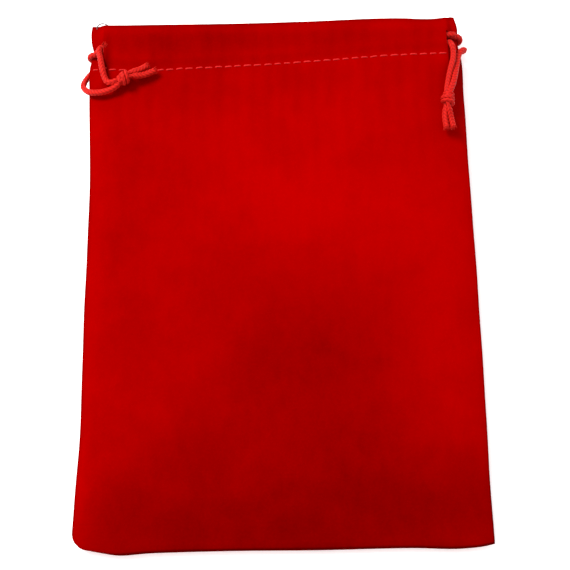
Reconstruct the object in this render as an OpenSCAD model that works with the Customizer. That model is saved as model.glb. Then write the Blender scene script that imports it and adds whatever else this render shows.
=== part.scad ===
// Drawstring dice bag: a flat velvet pouch with a hemmed mouth and two drawstrings.
// The bag lies on its back. X runs across it, +Y points to the mouth, +Z up from the table.
// The origin is the middle of the box round the bag, on the table.
// One drawstring is tied at the left and loops round the right edge of the mouth.
// The other is its mirror image: tied at the right, looped round the left edge.

/* [Bag] */
// Width of the bag, laid flat
bag_w = 127; // [100:1:160]
// Height of the bag, from the bottom seam to the mouth
bag_h = 177; // [140:1:220]
// Thickness of the velvet
cloth_t = 0.6; // [0.5:0.05:0.7]
// Gap between the front and back hems in the middle of the mouth
mouth_gap = 4.6; // [4.5:0.1:8]
// Radius of the lower left corner, which is turned out less sharply than the right one
corner_r = 6; // [6:1:12]

/* [Seams] */
// Width of the flat strip at each end of the casing, beyond its slit
strip_w = 2.4; // [2.2:0.1:3]
// Width of the seam allowance turned to the inside
allowance_w = 6; // [5:0.5:8]
// Distance over which the front rises beside a side seam
side_rise = 18; // [16:1:24]
// Distance over which the front rises above the bottom seam
bottom_rise = 25; // [18:1:40]
// Distance over which the back comes down to the table from its seams
back_rise = 10; // [8:1:14]
// Pitch of the overlock stitches along the allowances
overlock_pitch = 5; // [4:0.5:8]

/* [Hem] */
// Depth of the hem, from the mouth to its stitch line
hem_depth = 16; // [15:0.5:20]
// Width of the turned edge of the hem, below the stitch line
hem_edge = 3; // [2:0.5:4]
// Pitch of the hem stitches
stitch_pitch = 3.5; // [3:0.25:5]
// Length of one hem stitch
stitch_len = 2.4; // [1.5:0.1:2.6]
// Thickness of the sewing thread
thread_d = 0.4; // [0.3:0.05:0.5]

/* [Drawstrings] */
// Diameter of the braided drawstring
cord_d = 1.9; // [1.6:0.1:1.9]
// Distance from the mouth to the upper cord, which is tied at the left
upper_track = 7; // [6.4:0.1:7.4]
// Distance between the two cords in the casing
track_gap = 2.8; // [2.8:0.1:3.2]
// Diameter of a tie's knot
knot_d = 4.6; // [4:0.1:4.8]

/* [Hidden] */

velvet_red = [0.72, 0.02, 0.03];
cord_red = [0.9, 0.16, 0.14];
thread_red = [0.85, 0.3, 0.28];
cord_gap = 0.15;
fit_gap = 0.05;

half_w = bag_w / 2;
half_h = bag_h / 2;
casing_t = cord_d + 2 * cord_gap;
bag_t = 4 * cloth_t + 2 * casing_t + mouth_gap;
mid_z = bag_t / 2;
strip_top = mid_z + 2 * cloth_t;
crown = bag_t - strip_top;

// The side of the casing drops steeply between these two distances from the side edge.
slope_w = 2.6;
shoulder = strip_w + slope_w;
slit_x = half_w - shoulder;
edge_w = 1.1;
edge_drop = 0.25;

stitch_y = half_h - hem_depth;
upper_y = half_h - upper_track;
lower_y = upper_y - track_gap;
back_cord_z = cloth_t + cord_gap + cord_d / 2;
front_cord_z = bag_t - back_cord_z;
slit_margin = 1.3;
slit_low = lower_y - slit_margin;
slit_high = upper_y + slit_margin;

// A drawstring wraps round the side edge on this arc.
wrap_r = 2.6;
wrap_x = half_w - 1.2;
tube_sides = 8;

function smooth(t) = t <= 0 ? 0 : t >= 1 ? 1 : t * t * (3 - 2 * t);
function swell(t) = t <= 0 ? 0 : t >= 1 ? 1 : 1 - pow(1 - t, 2);

// How far a face of the bag stands out from its seams, from 0 at a seam to 1. Below the
// hem it swells gently. The casing is as thick as its cords right up to the slits.
share_low = stitch_y - hem_edge - 4;
share_w = 4;
function level(x, y, side_reach, bottom_reach) =
    let (
        side = half_w - abs(x),
        casing = min(1, max(0, (side - strip_w) / slope_w)),
        body = swell(side / side_reach) * swell((y + half_h) / bottom_reach),
        share = smooth((y - share_low) / share_w)
    )
    share * casing + (1 - share) * body;
function front_z(x, y) = strip_top + crown * level(x, y, side_rise, bottom_rise);
function back_z(x, y) = crown * (1 - level(x, y, back_rise, back_rise));

// The outside is rounded off a little at the side edges, where the drawstrings wrap round.
function edge_fall(x) = edge_drop * max(0, 1 - (half_w - abs(x)) / edge_w);

// Lines of a panel's grid, as distances from its side edge and from its bottom edge
side_lines = concat(
    [0, edge_w, strip_w, shoulder],
    [(shoulder + back_rise) / 2, back_rise, (back_rise + side_rise) / 2, side_rise],
    [half_w / 2, half_w]
);
low_lines = concat(
    [for (k = [0 : 4]) back_rise * pow(k / 4, 1.5)],
    [for (k = [1 : 4]) back_rise + (bottom_rise - back_rise) * k / 4],
    [for (k = [1 : 5]) bottom_rise + (share_low + half_h - bottom_rise) * k / 5],
    [for (k = [1 : 4]) share_low + half_h + share_w * k / 4],
    [slit_low + half_h, bag_h]
);
function reversed(list) = [for (i = [len(list) - 1 : -1 : 0]) list[i]];
lines_x = concat(
    [for (side = side_lines) side - half_w],
    [for (side = reversed(side_lines)) if (side < half_w) half_w - side]
);
lines_y = [for (low = low_lines) low - half_h];

// A closed sheet between two grids of points that have the same number of lines
module sheet(lower, upper, across) {
    count = len(lower);
    along = count / across;
    rim = [
        for (i = [0 : across - 2]) i,
        for (j = [0 : along - 2]) j * across + across - 1,
        for (i = [across - 1 : -1 : 1]) (along - 1) * across + i,
        for (j = [along - 1 : -1 : 1]) j * across
    ];
    corners = [for (j = [0 : along - 2]) for (i = [0 : across - 2]) j * across + i];
    faces = concat(
        [for (a = corners) each [[a, a + 1, a + across + 1], [a, a + across + 1, a + across]]],
        [
            for (c = corners)
                let (a = count + c)
                each [[a, a + across + 1, a + 1], [a, a + across, a + across + 1]]
        ],
        [
            for (k = [0 : len(rim) - 1])
                let (a = rim[k], b = rim[(k + 1) % len(rim)])
                [a, a + count, b + count, b]
        ]
    );
    polyhedron(concat(lower, upper), faces);
}

// Outline of the bag seen from above, with its one rounded corner
module outline() {
    difference() {
        square([bag_w, bag_h], center = true);
        translate([-half_w, -half_h])
            difference() {
                translate([-1, -1])
                    square(corner_r + 1);
                translate([corner_r, corner_r])
                    circle(corner_r, $fn = 48);
            }
    }
}

module within_outline() {
    intersection() {
        children();
        translate([0, 0, -1])
            linear_extrude(bag_t + 2)
                outline();
    }
}

// Both slits of one face, cut where the cords cross the steep side of the casing
module slits(low_z, high_z) {
    for (side = [-1, 1])
        translate([side * (slit_x + slope_w / 2 + 0.1), (slit_low + slit_high) / 2, (low_z + high_z) / 2])
            cube([slope_w + 0.2, slit_high - slit_low, high_z - low_z], center = true);
}

module front_panel() {
    inside = [for (y = lines_y) for (x = lines_x) [x, y, front_z(x, y) - cloth_t]];
    outside = [for (y = lines_y) for (x = lines_x) [x, y, front_z(x, y) - edge_fall(x)]];
    color(velvet_red)
        difference() {
            within_outline()
                sheet(inside, outside, len(lines_x));
            slits(strip_top, bag_t + 1);
        }
}

module back_panel() {
    outside = [for (y = lines_y) for (x = lines_x) [x, y, back_z(x, y) + edge_fall(x)]];
    inside = [for (y = lines_y) for (x = lines_x) [x, y, back_z(x, y) + cloth_t]];
    color(velvet_red)
        difference() {
            within_outline()
                sheet(outside, inside, len(lines_x));
            slits(-1, bag_t - strip_top);
        }
}

// Above the stitch line the hem's inner layer rises to make room for the cords. The rise
// starts and ends at these distances from the stitch line.
rise_start = 0.5;
rise_end = 3;
rise_lap = 0.25;

// One hem seen from the side: the fold at the mouth, the inner layer and its turned edge
module hem_section() {
    inner = cloth_t + casing_t;
    raw_edge = stitch_y - hem_edge;
    polygon([
        [half_h, cloth_t], [half_h, inner + cloth_t],
        [stitch_y + rise_end, inner + cloth_t], [stitch_y + rise_start, 2 * cloth_t],
        [raw_edge, 2 * cloth_t], [raw_edge, cloth_t],
        [stitch_y + rise_start + rise_lap, cloth_t], [stitch_y + rise_end + rise_lap, inner],
        [half_h - cloth_t, inner], [half_h - cloth_t, cloth_t]
    ]);
}

// The hem's end beside a seam, where it drops to the middle of the bag. It starts
// a little inside the straight part of the hem.
hem_end_x = slit_x - 1;
hem_lap = 1;
module hem_end_section() {
    inner = cloth_t + casing_t;
    strip_x = half_w - strip_w;
    polygon([
        [hem_end_x - hem_lap, inner], [hem_end_x - hem_lap, inner + cloth_t],
        [hem_end_x, inner + cloth_t], [strip_x - cloth_t / 2, mid_z], [half_w, mid_z],
        [half_w, mid_z - cloth_t], [strip_x, mid_z - cloth_t], [hem_end_x, inner]
    ]);
}

// The fold at the mouth, where it closes the end of the casing
module end_fold_section() {
    lap_z = cloth_t + casing_t + cloth_t / 2;
    strip_x = half_w - strip_w;
    polygon([
        [hem_end_x - hem_lap, cloth_t], [slit_x, cloth_t], [strip_x, cloth_t + crown],
        [strip_x, mid_z - cloth_t / 2], [hem_end_x, lap_z], [hem_end_x - hem_lap, lap_z]
    ]);
}

module upright(depth) {
    translate([0, half_h, 0])
        rotate([90, 0, 0])
            linear_extrude(depth)
                children();
}

module hem() {
    end_depth = hem_depth - rise_end - rise_lap;
    union() {
        translate([-hem_end_x, 0, 0])
            rotate([90, 0, 90])
                linear_extrude(2 * hem_end_x)
                    hem_section();
        for (side = [0, 1])
            mirror([side, 0, 0]) {
                upright(end_depth)
                    hem_end_section();
                upright(cloth_t)
                    end_fold_section();
            }
    }
}

module back_hem() {
    color(velvet_red)
        hem();
}

module front_hem() {
    color(velvet_red)
        translate([0, 0, bag_t])
            mirror([0, 0, 1])
                hem();
}

// The two plies of a side seam, turned to the inside below the hem
module side_allowance() {
    low = -half_h + corner_r;
    high = stitch_y + rise_end;
    translate([half_w - allowance_w, low, mid_z - cloth_t])
        cube([allowance_w, high - low, 2 * cloth_t]);
}

module left_seam_allowance() {
    color(velvet_red)
        mirror([1, 0, 0])
            side_allowance();
}

module right_seam_allowance() {
    color(velvet_red)
        side_allowance();
}

module bottom_seam_allowance() {
    low = -half_h;
    color(velvet_red)
        within_outline()
            union() {
                translate([-half_w, low, mid_z - cloth_t])
                    cube([bag_w, allowance_w, 2 * cloth_t]);
                for (side = [-1, 1])
                    translate([side * (half_w - allowance_w / 2), low + corner_r / 2, mid_z])
                        cube([allowance_w, corner_r, 2 * cloth_t], center = true);
            }
}

// A row of thread loops round the raw edge of an allowance, from one end to the other
module overlock_row(length) {
    loops = floor(length / overlock_pitch);
    bite = 1.1;
    plies_t = 2 * cloth_t;
    for (k = [0 : loops - 1])
        translate([0, (k + 0.5) * overlock_pitch, 0])
            difference() {
                cube([2 * bite, thread_d, plies_t + 2 * thread_d], center = true);
                translate([bite, 0, 0])
                    cube([2 * bite, 2 * thread_d, plies_t], center = true);
            }
}

module side_overlock() {
    low = -half_h + corner_r;
    translate([half_w - allowance_w, low, mid_z])
        overlock_row(stitch_y - hem_edge - low);
}

module left_overlock() {
    color(thread_red)
        mirror([1, 0, 0])
            side_overlock();
}

module right_overlock() {
    color(thread_red)
        side_overlock();
}

module bottom_overlock() {
    end_gap = 2;
    length = bag_w - 2 * (allowance_w + end_gap);
    color(thread_red)
        translate([-length / 2, -half_h + allowance_w, mid_z])
            rotate([0, 0, -90])
                overlock_row(length);
}

// A row of flat stitches across the bag
module stitch_row(y, low_z) {
    count = floor((slit_x - stitch_len) / stitch_pitch);
    for (k = [-count : count])
        translate([k * stitch_pitch, y, low_z + thread_d / 4])
            cube([stitch_len, thread_d, thread_d / 2], center = true);
}

// Stitches of the front hem, laid on the outside of the front panel
module front_hem_stitches() {
    color(thread_red)
        stitch_row(stitch_y, bag_t + fit_gap);
}

// The inner side of the back hem's seam shows on its turned edge
module back_hem_stitches() {
    color(thread_red)
        stitch_row(stitch_y - 1, 2 * cloth_t);
}

// A tube of round section swept along a route
function unit(v) = v / norm(v);
function heading(route, i) = unit(route[min(i + 1, len(route) - 1)] - route[max(i - 1, 0)]);
function square_to(v, along) = unit(v - (v * along) * along);
function side_at(route, i) =
    i == 0 ? square_to([0, 1, 0], heading(route, 0))
           : square_to(side_at(route, i - 1), heading(route, i));

module tube(route) {
    n = tube_sides;
    rings = len(route);
    points = [
        for (i = [0 : rings - 1])
            let (along = heading(route, i), side = side_at(route, i), up = cross(along, side))
            for (k = [0 : n - 1])
                let (turn = 360 * (k + 0.5) / n)
                route[i] + cord_d / 2 * (cos(turn) * side + sin(turn) * up)
    ];
    faces = concat(
        [[for (k = [0 : n - 1]) k]],
        [[for (k = [n - 1 : -1 : 0]) (rings - 1) * n + k]],
        [
            for (i = [0 : rings - 2])
                for (k = [0 : n - 1])
                    let (a = i * n + k, b = i * n + (k + 1) % n)
                    [a, a + n, b + n, b]
        ]
    );
    polyhedron(points, faces);
}

// Route of a drawstring's loop, wrapped round the right edge: along the front half of
// the casing, out of the slit, round the edge and back along the rear half.
function wrap_arc(y) = [
    for (turn = [90 : -30 : -90])
        [wrap_x + wrap_r * cos(turn), y, mid_z + wrap_r * sin(turn)]
];
function loop_half(y, z, up) = [
    [-slit_x, y, z],
    [slit_x, y, z],
    [slit_x + 2, y, z - 1.2 * up]
];
function loop_route(y) = concat(
    loop_half(y, front_cord_z, 1),
    wrap_arc(y),
    reversed(loop_half(y, back_cord_z, -1))
);

// Routes of the free legs and tails. Points are measured across and along the bag from
// the slit that the cord leaves, and up from the table. They suit a bag as thick as
// route_t: on a thicker or thinner one, those above its middle follow the front face.
route_t = 11.4;
function placed(corner, point) =
    corner + point + [0, 0, point[2] > route_t / 2 ? bag_t - route_t : 0];

left_tie = [-slit_x, upper_y, 0];
left_front_leg = [
    [0, 0, 9.7], [-1.2, 0, 9.7], [-1.6, -2, 11], [-1.4, -4.7, 11.2], [-1.1, -6.5, 11.6],
    [-0.6, -8.8, 12.2], [0, -11.6, 12.4], [0.8, -14.5, 12], [1.8, -16.2, 12.2],
    [3.4, -16.7, 12.7], [5.2, -15.8, 13.3]
];
left_back_leg = [
    [0, 0, 1.7], [-1.3, 0, 1.7], [-2.6, -1.3, 1], [-3.6, -4.2, 1], [-4.9, -7, 2.2],
    [-6.4, -10, 3.9], [-7.4, -12.9, 5.2], [-7.3, -15.2, 6.4], [-5.8, -17.4, 7.9],
    [-4, -18.6, 9.2], [-0.4, -19.3, 10.7], [3.4, -18.8, 12], [6, -17.6, 13.1]
];
left_knot = [8, -15.5, 13.6];
left_knot_turn = 28;
left_front_tail = [[9.9, -14, 13.5], [12.5, -12.4, 13], [15, -10.7, 12.5]];
left_back_tail = [[10.3, -15.9, 13.5], [13.9, -14.4, 13], [17.6, -12.6, 12.5]];

right_tie = [slit_x, lower_y, 0];
right_front_leg = [
    [0, 0, 9.7], [1.3, 0, 9.7], [1.9, -2, 10.8], [2.1, -4.4, 10.7], [1.8, -6.8, 11],
    [1, -9.7, 11.4], [0.2, -12.6, 11.2], [-0.5, -15.8, 10.9], [-1, -18.4, 11],
    [-1.3, -20.4, 11.2]
];
right_back_leg = [
    [0, 0, 1.7], [1.3, 0, 1.7], [3.2, 0.1, 1.7], [5.4, -0.1, 2.8], [6.6, -0.5, 4.8], [6.4, -1.3, 6.9],
    [4.9, -2.8, 8.4], [3.8, -5.5, 9.2], [3.2, -8.2, 9.8], [2.5, -11.1, 10.6], [1.8, -14.1, 11.5],
    [0.9, -17, 12.3], [-0.1, -20.5, 12.8]
];
right_knot = [-1.2, -22.7, 12.1];
right_knot_turn = 90;
right_front_tail = [[-2.1, -24.8, 11.8], [-2.3, -28.6, 11.1], [-2, -32.2, 10.8]];
right_back_tail = [[-0.2, -24.9, 11.5], [-0.3, -28.5, 10.9], [0.3, -31.9, 10.6]];

module cord_along(corner, points) {
    color(cord_red)
        tube([for (point = points) placed(corner, point)]);
}

module tie_knot(corner, place, turn) {
    half_len = 0.7;
    color(cord_red)
        translate(placed(corner, place))
            rotate([0, 0, turn])
                union() {
                    for (end = [-1, 1])
                        translate([end * half_len, 0, 0])
                            sphere(d = knot_d, $fn = 48);
                    rotate([0, 90, 0])
                        cylinder(d = knot_d, h = 2 * half_len, center = true, $fn = 48);
                }
}

module left_drawstring_loop() {
    color(cord_red)
        tube(loop_route(upper_y));
}

module right_drawstring_loop() {
    color(cord_red)
        mirror([1, 0, 0])
            tube(loop_route(lower_y));
}

module left_drawstring_front_leg() { cord_along(left_tie, left_front_leg); }
module left_drawstring_back_leg() { cord_along(left_tie, left_back_leg); }
module left_drawstring_knot() { tie_knot(left_tie, left_knot, left_knot_turn); }
module left_drawstring_front_tail() { cord_along(left_tie, left_front_tail); }
module left_drawstring_back_tail() { cord_along(left_tie, left_back_tail); }

module right_drawstring_front_leg() { cord_along(right_tie, right_front_leg); }
module right_drawstring_back_leg() { cord_along(right_tie, right_back_leg); }
module right_drawstring_knot() { tie_knot(right_tie, right_knot, right_knot_turn); }
module right_drawstring_front_tail() { cord_along(right_tie, right_front_tail); }
module right_drawstring_back_tail() { cord_along(right_tie, right_back_tail); }

front_panel();
back_panel();
front_hem();
back_hem();
left_seam_allowance();
right_seam_allowance();
bottom_seam_allowance();
left_overlock();
right_overlock();
bottom_overlock();
front_hem_stitches();
back_hem_stitches();
left_drawstring_loop();
left_drawstring_front_leg();
left_drawstring_back_leg();
left_drawstring_knot();
left_drawstring_front_tail();
left_drawstring_back_tail();
right_drawstring_loop();
right_drawstring_front_leg();
right_drawstring_back_leg();
right_drawstring_knot();
right_drawstring_front_tail();
right_drawstring_back_tail();
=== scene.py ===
# A red velvet drawstring dice bag that lies on its back, built round its imported CAD part.
# X runs across the bag, +Y points to its mouth and +Z up from the table. Lengths are millimetres
# until mesh_piece() turns them into metres. Only the camera, the light and the
# materials' nodes are set in metres.
#
# A place on a panel is given by u across it and v along it, on an even rectangle of the CAD part's
# size. outline_x() and outline_y() move it to the bag's real, uneven outline. It has y instead of v
# where it already lies at its real place along the bag.
import math

import bpy
import numpy as np
from mathutils import Matrix, Vector


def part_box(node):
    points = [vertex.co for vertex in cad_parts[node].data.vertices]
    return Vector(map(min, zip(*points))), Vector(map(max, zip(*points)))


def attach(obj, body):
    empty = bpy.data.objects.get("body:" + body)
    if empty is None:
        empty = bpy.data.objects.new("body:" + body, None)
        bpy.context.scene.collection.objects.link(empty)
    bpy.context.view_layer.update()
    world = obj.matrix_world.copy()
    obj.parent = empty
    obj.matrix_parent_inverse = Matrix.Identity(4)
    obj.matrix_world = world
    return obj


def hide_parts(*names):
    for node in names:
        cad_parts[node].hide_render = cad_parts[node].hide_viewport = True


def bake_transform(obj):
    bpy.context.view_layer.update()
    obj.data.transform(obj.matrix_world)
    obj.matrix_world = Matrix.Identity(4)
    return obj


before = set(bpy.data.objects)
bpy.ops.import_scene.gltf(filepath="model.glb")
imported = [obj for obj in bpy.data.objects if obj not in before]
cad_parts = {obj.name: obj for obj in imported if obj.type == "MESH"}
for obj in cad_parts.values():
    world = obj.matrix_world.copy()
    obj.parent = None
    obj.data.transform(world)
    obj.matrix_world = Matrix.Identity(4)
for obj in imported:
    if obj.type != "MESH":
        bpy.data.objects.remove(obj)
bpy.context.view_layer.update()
MM = 0.001


def box_mm(node):
    return [np.array(corner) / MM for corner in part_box(node)]


# ---------------------------------------------------------------- sizes

# From the CAD part
HALF_W, HALF_H, BAG_T = box_mm("front_panel")[1]
UPPER_Y = sum(box_mm("left_drawstring_loop"))[1] / 2
LOWER_Y = sum(box_mm("right_drawstring_loop"))[1] / 2
MID_Z = BAG_T / 2

# Cloth and cords
CLOTH_T = 0.6
CORD_R = 0.95
CORD_DEPTH = 1.7  # from the front or back face to the middle of a cord

# The casings. Each is flat in a strip along the side seam and full from its slit inwards.
STRIP_W = 2.4
SHOULDER = 5
SLIT_X = HALF_W - SHOULDER
SLIT_WIDTH = 2.2
SLIT_MARGIN = 1.3  # how far a slit runs on past the middles of the two cords
SLIT_LOW = LOWER_Y - SLIT_MARGIN
SLIT_HIGH = UPPER_Y + SLIT_MARGIN
STITCHED_HALF = 0.62  # half the thickness of a casing at its stitches
FOLD_HALF = 0.8  # half its thickness at the fold of the mouth
FOLD_EASE = 0.2  # how much wider the fold is than one thickness of cloth
FOLD_SINK = 0.3  # how far a casing sinks towards the middle of the bag, above its slits
FOLD_SINK_LENGTH = 5
SWELL_START = 0.3  # from the stitches up to where a casing starts to swell
SWELL_LENGTH = 3.7
FADE_START = 9  # from the stitches down to where the casings' shape has faded out
FADE_LENGTH = 7
HEM_EDGE = 3  # from the stitches down to the turned edge of the hem
HEM_INSET_X = 61  # from here outwards the hem keeps clear of the side seam

# The outer edges, and how far in from them the bag is at its full height
EDGE_R = 0.9
CORNER_R = 5.5
GROOVE_DEPTH = 0.22
GROOVE_WIDTH = 0.25
SIDE_RISE = 18
BOTTOM_RISE = 25
BACK_RISE = 11
BACK_Z = 0.1  # height of the flat middle of the back

# Where the cloth starts to follow the real outline: across the bag at its bottom, and along it
CORNER_X = 45
BOTTOM_Y = -60

# The seam allowances inside
ALLOWANCE_W = 6
SEAM_GAP = 0.8  # from the seam to where the two plies start
OVERLOCK_PITCH = 2.4

# A pulled drawstring draws the far half of the neck in. The cloth fans out between these lines.
FAN_LOW = 14.5
FAN_HIGH = 69.5

# How finely the panels are divided: columns from the middle to a slit, and rows from the bottom to the
# fan, above the fan, beside the slits and above them. The fan has as many rows as half columns.
HALF_COLUMNS = 48
BODY_ROWS = 75
NECK_ROWS = 8
SLIT_ROWS = 5
TOP_ROWS = 5
ARC_STEP = 15  # degrees
LEFT_SLIT_DROP = 2  # rows

# The outline and the row of stitches, as places along an edge and where it lies there
MOUTH_LINE = [
    (-64, 88.7), (-57, 88.4), (-40, 88.2), (-10, 88), (10, 88.2), (44, 88.7), (54, 88.2), (59, 88.7),
    (62, 89.3), (64, 88.7)]
STITCH_LINE = [
    (-64, 73.6), (-58, 71.3), (-50, 70.4), (-30, 70.6), (-10, 71.2), (16, 72.5), (40, 74), (64, 74.6)]
BOTTOM_LINE = [
    (-64, -87.8), (-57, -88.95), (-53, -89.5), (-40, -89.1), (-15, -88.9), (10, -89.15), (40, -89.1),
    (54, -89.5), (61, -88.8), (64, -88.1)]
LEFT_EDGE = [
    (-88, -65), (-73, -64.5), (-55, -63.6), (-10, -63.6), (34, -63.1), (63, -64.1), (75, -64), (79, -63),
    (83, -63.8), (86, -63.9), (89, -63.3)]
RIGHT_EDGE = [
    (-88, 64), (-70, 63.9), (-30, 64.4), (60, 64.1), (75, 64), (81, 63), (85, 63.3), (89, 62)]

# Heights along the bag: of the side seams, and of the flat middle of the front
SEAM_Z = [(-88, 2.6), (-40, 3), (20, 3.6), (55, 5.2), (70, MID_Z), (82, 6), (89, 8)]
FRONT_TOP = [(-88, 7.6), (-60, 8.2), (-20, 8), (20, 9.2), (50, 10.2), (70, 10.9)]

# Soft waves of the slack cloth: height, wavelength, direction in degrees and phase
DRAPE_WAVES = [(0.5, 95, 70, 0.3), (0.35, 62, 10, 1.9), (0.25, 41, 125, 4.0), (0.1, 23, 40, 2.2)]
# The side seams rise and fall a little: height, length of one radian and phase. That reaches so far in
# from a seam, and fades out from the given place along the bag.
SEAM_WAVES = [(0.3, 9, 1), (0.2, 4.3, 2)]
SEAM_WAVE_REACH = 30
SEAM_WAVE_END = 50
SEAM_WAVE_FADE = 15
# Upright ripples of the neck, and over what height they grow
GATHER_HEIGHT = 0.1
GATHER_PITCH = 5.5
GATHER_RISE = 45

# How light the pile is, from 0 to 1, outside and inside the bag, and soft patches on the front where it is
# painted lighter or darker, partly the pile's own tone and partly painted light and shade: the
# middle of the patch, its radius across and along the bag, and the change
PILE_TONE = 0.44
INNER_TONE = 0.4
PILE_AND_LIGHT_PATCHES = [
    # (0, -85) is painted shade along the bottom, (-64, 82) and (-63.5, -70) are painted highlights along
    # the left edge, and (-57.6, 73.5) is a painted shadow beside the left tie's front leg
    (14, 22, 34, 20, 0.13), (5, 52, 30, 12, 0.05), (57, 10, 12, 45, 0.12), (57, -38, 10, 20, 0.06),
    (10, -33, 28, 28, -0.18), (10, -58, 26, 12, -0.05), (-30, -58, 12, 12, -0.06), (38, -74, 18, 12, -0.06),
    (0, -85, 90, 26, -0.22), (-51, 20, 7, 40, -0.06), (-30, 64, 14, 9, -0.1), (-10, 81, 80, 7.5, -0.12),
    (-38, 82, 22, 8, -0.08), (25, 74, 45, 3, 0.06), (-64, 82, 2.6, 12, 0.16), (62, 84, 6, 8, 0.08),
    (-57.6, 73.5, 1.6, 6, -0.3), (-63.5, -70, 3.5, 20, 0.14), (-59, 60, 4, 7, -0.06),
]
# Painted shade along the seams and the fold, where the pile also falls away: how much darker it is there,
# and over what width
EDGE_SHADE = 0.42
EDGE_SHADE_W = 0.6


# ---------------------------------------------------------------- small functions

def clamp(t):
    return np.clip(t, 0, 1)


def smooth(t):
    """From 0 to 1, level at both ends."""
    return clamp(t) ** 2 * (3 - 2 * clamp(t))


def swell(t):
    """From 0 to 1, steep at first and level at the end."""
    return 1 - (1 - clamp(t)) ** 2


def roundness(t):
    """The height of a quarter circle, from 0 to 1."""
    return np.sqrt(1 - (1 - clamp(t)) ** 2)


def eased(x, table):
    """A smooth line through a few (place, value) points."""
    at, value = np.array(table, float).T
    slope = np.gradient(value, at)
    i = np.clip(np.searchsorted(at, x) - 1, 0, len(at) - 2)
    gap = at[i + 1] - at[i]
    t = clamp((x - at[i]) / gap)
    start = (1 + 2 * t) * (1 - t) ** 2 * value[i] + t * (1 - t) ** 2 * gap * slope[i]
    end = t * t * (3 - 2 * t) * value[i + 1] + t * t * (t - 1) * gap * slope[i + 1]
    return start + end


def mesh_piece(name, points, faces, material, normals=None, **attributes):
    """A mesh of points in millimetres. normals has one vector for each corner of each face."""
    mesh = bpy.data.meshes.new(name)
    mesh.from_pydata((np.asarray(points) * MM).tolist(), [], faces)
    mesh.shade_smooth()
    mesh.materials.append(material)
    for label, values in attributes.items():
        attribute = mesh.attributes.new(label, "FLOAT", "POINT")
        attribute.data.foreach_set("value", np.asarray(values, np.float32))
    if normals is not None:
        mesh.normals_split_custom_set(np.asarray(normals).tolist())
    piece = bpy.data.objects.new(name, mesh)
    bpy.context.collection.objects.link(piece)
    return piece


# ---------------------------------------------------------------- camera, light and floor

def turned_towards(place, target, roll=0.0):
    """A matrix for a camera or light at place that looks at target, turned by roll about its own axis."""
    back = (Vector(place) - Vector(target)).normalized()
    right = Vector((0, 0, 1)).cross(back).normalized()
    up = back.cross(right)
    turned_right = math.cos(roll) * right + math.sin(roll) * up
    turned_up = math.cos(roll) * up - math.sin(roll) * right
    matrix = Matrix((turned_right, turned_up, back)).transposed().to_4x4()
    matrix.translation = place
    return matrix


def add_camera():
    azimuth, elevation, roll = (math.radians(angle) for angle in (0.8, 72.5, -1.95))
    target = Vector((0.00175, -0.0055, 0.005))
    distance = 0.356
    back = Vector((math.sin(azimuth) * math.cos(elevation),
                   -math.cos(azimuth) * math.cos(elevation),
                   math.sin(elevation)))
    data = bpy.data.cameras.new("camera")
    data.sensor_width = 36
    data.lens = 69.5
    data.clip_start = 0.01
    camera = bpy.data.objects.new("camera", data)
    camera.matrix_world = turned_towards(target + distance * back, target, roll)
    bpy.context.collection.objects.link(camera)
    bpy.context.scene.camera = camera


def add_key_light():
    data = bpy.data.lights.new("key", "AREA")
    data.size = 0.4
    data.energy = 14
    light = bpy.data.objects.new("key", data)
    light.matrix_world = turned_towards((-0.5, 0.42, 0.85), (0, 0, 0))
    bpy.context.collection.objects.link(light)


def add_world():
    world = bpy.data.worlds.new("studio")
    world.use_nodes = True
    background = world.node_tree.nodes["Background"]
    background.inputs["Color"].default_value = (1, 1, 1, 1)
    background.inputs["Strength"].default_value = 0.92
    bpy.context.scene.world = world
    bpy.context.scene.view_settings.view_transform = "Standard"


def add_floor():
    """A white floor that gives off a little light, so that it stays as pale as paper."""
    paper = bpy.data.materials.new("paper")
    paper.use_nodes = True
    shader = paper.node_tree.nodes["Principled BSDF"]
    shader.inputs["Base Color"].default_value = (0.98, 0.98, 0.98, 1)
    shader.inputs["Roughness"].default_value = 0.9
    shader.inputs["Emission Color"].default_value = (1, 1, 1, 1)
    shader.inputs["Emission Strength"].default_value = 0.35
    half = 2000
    corners = [(-half, -half, 0), (half, -half, 0), (half, half, 0), (-half, half, 0)]
    mesh_piece("floor", corners, [(0, 1, 2, 3)], paper)


# ---------------------------------------------------------------- materials

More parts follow.
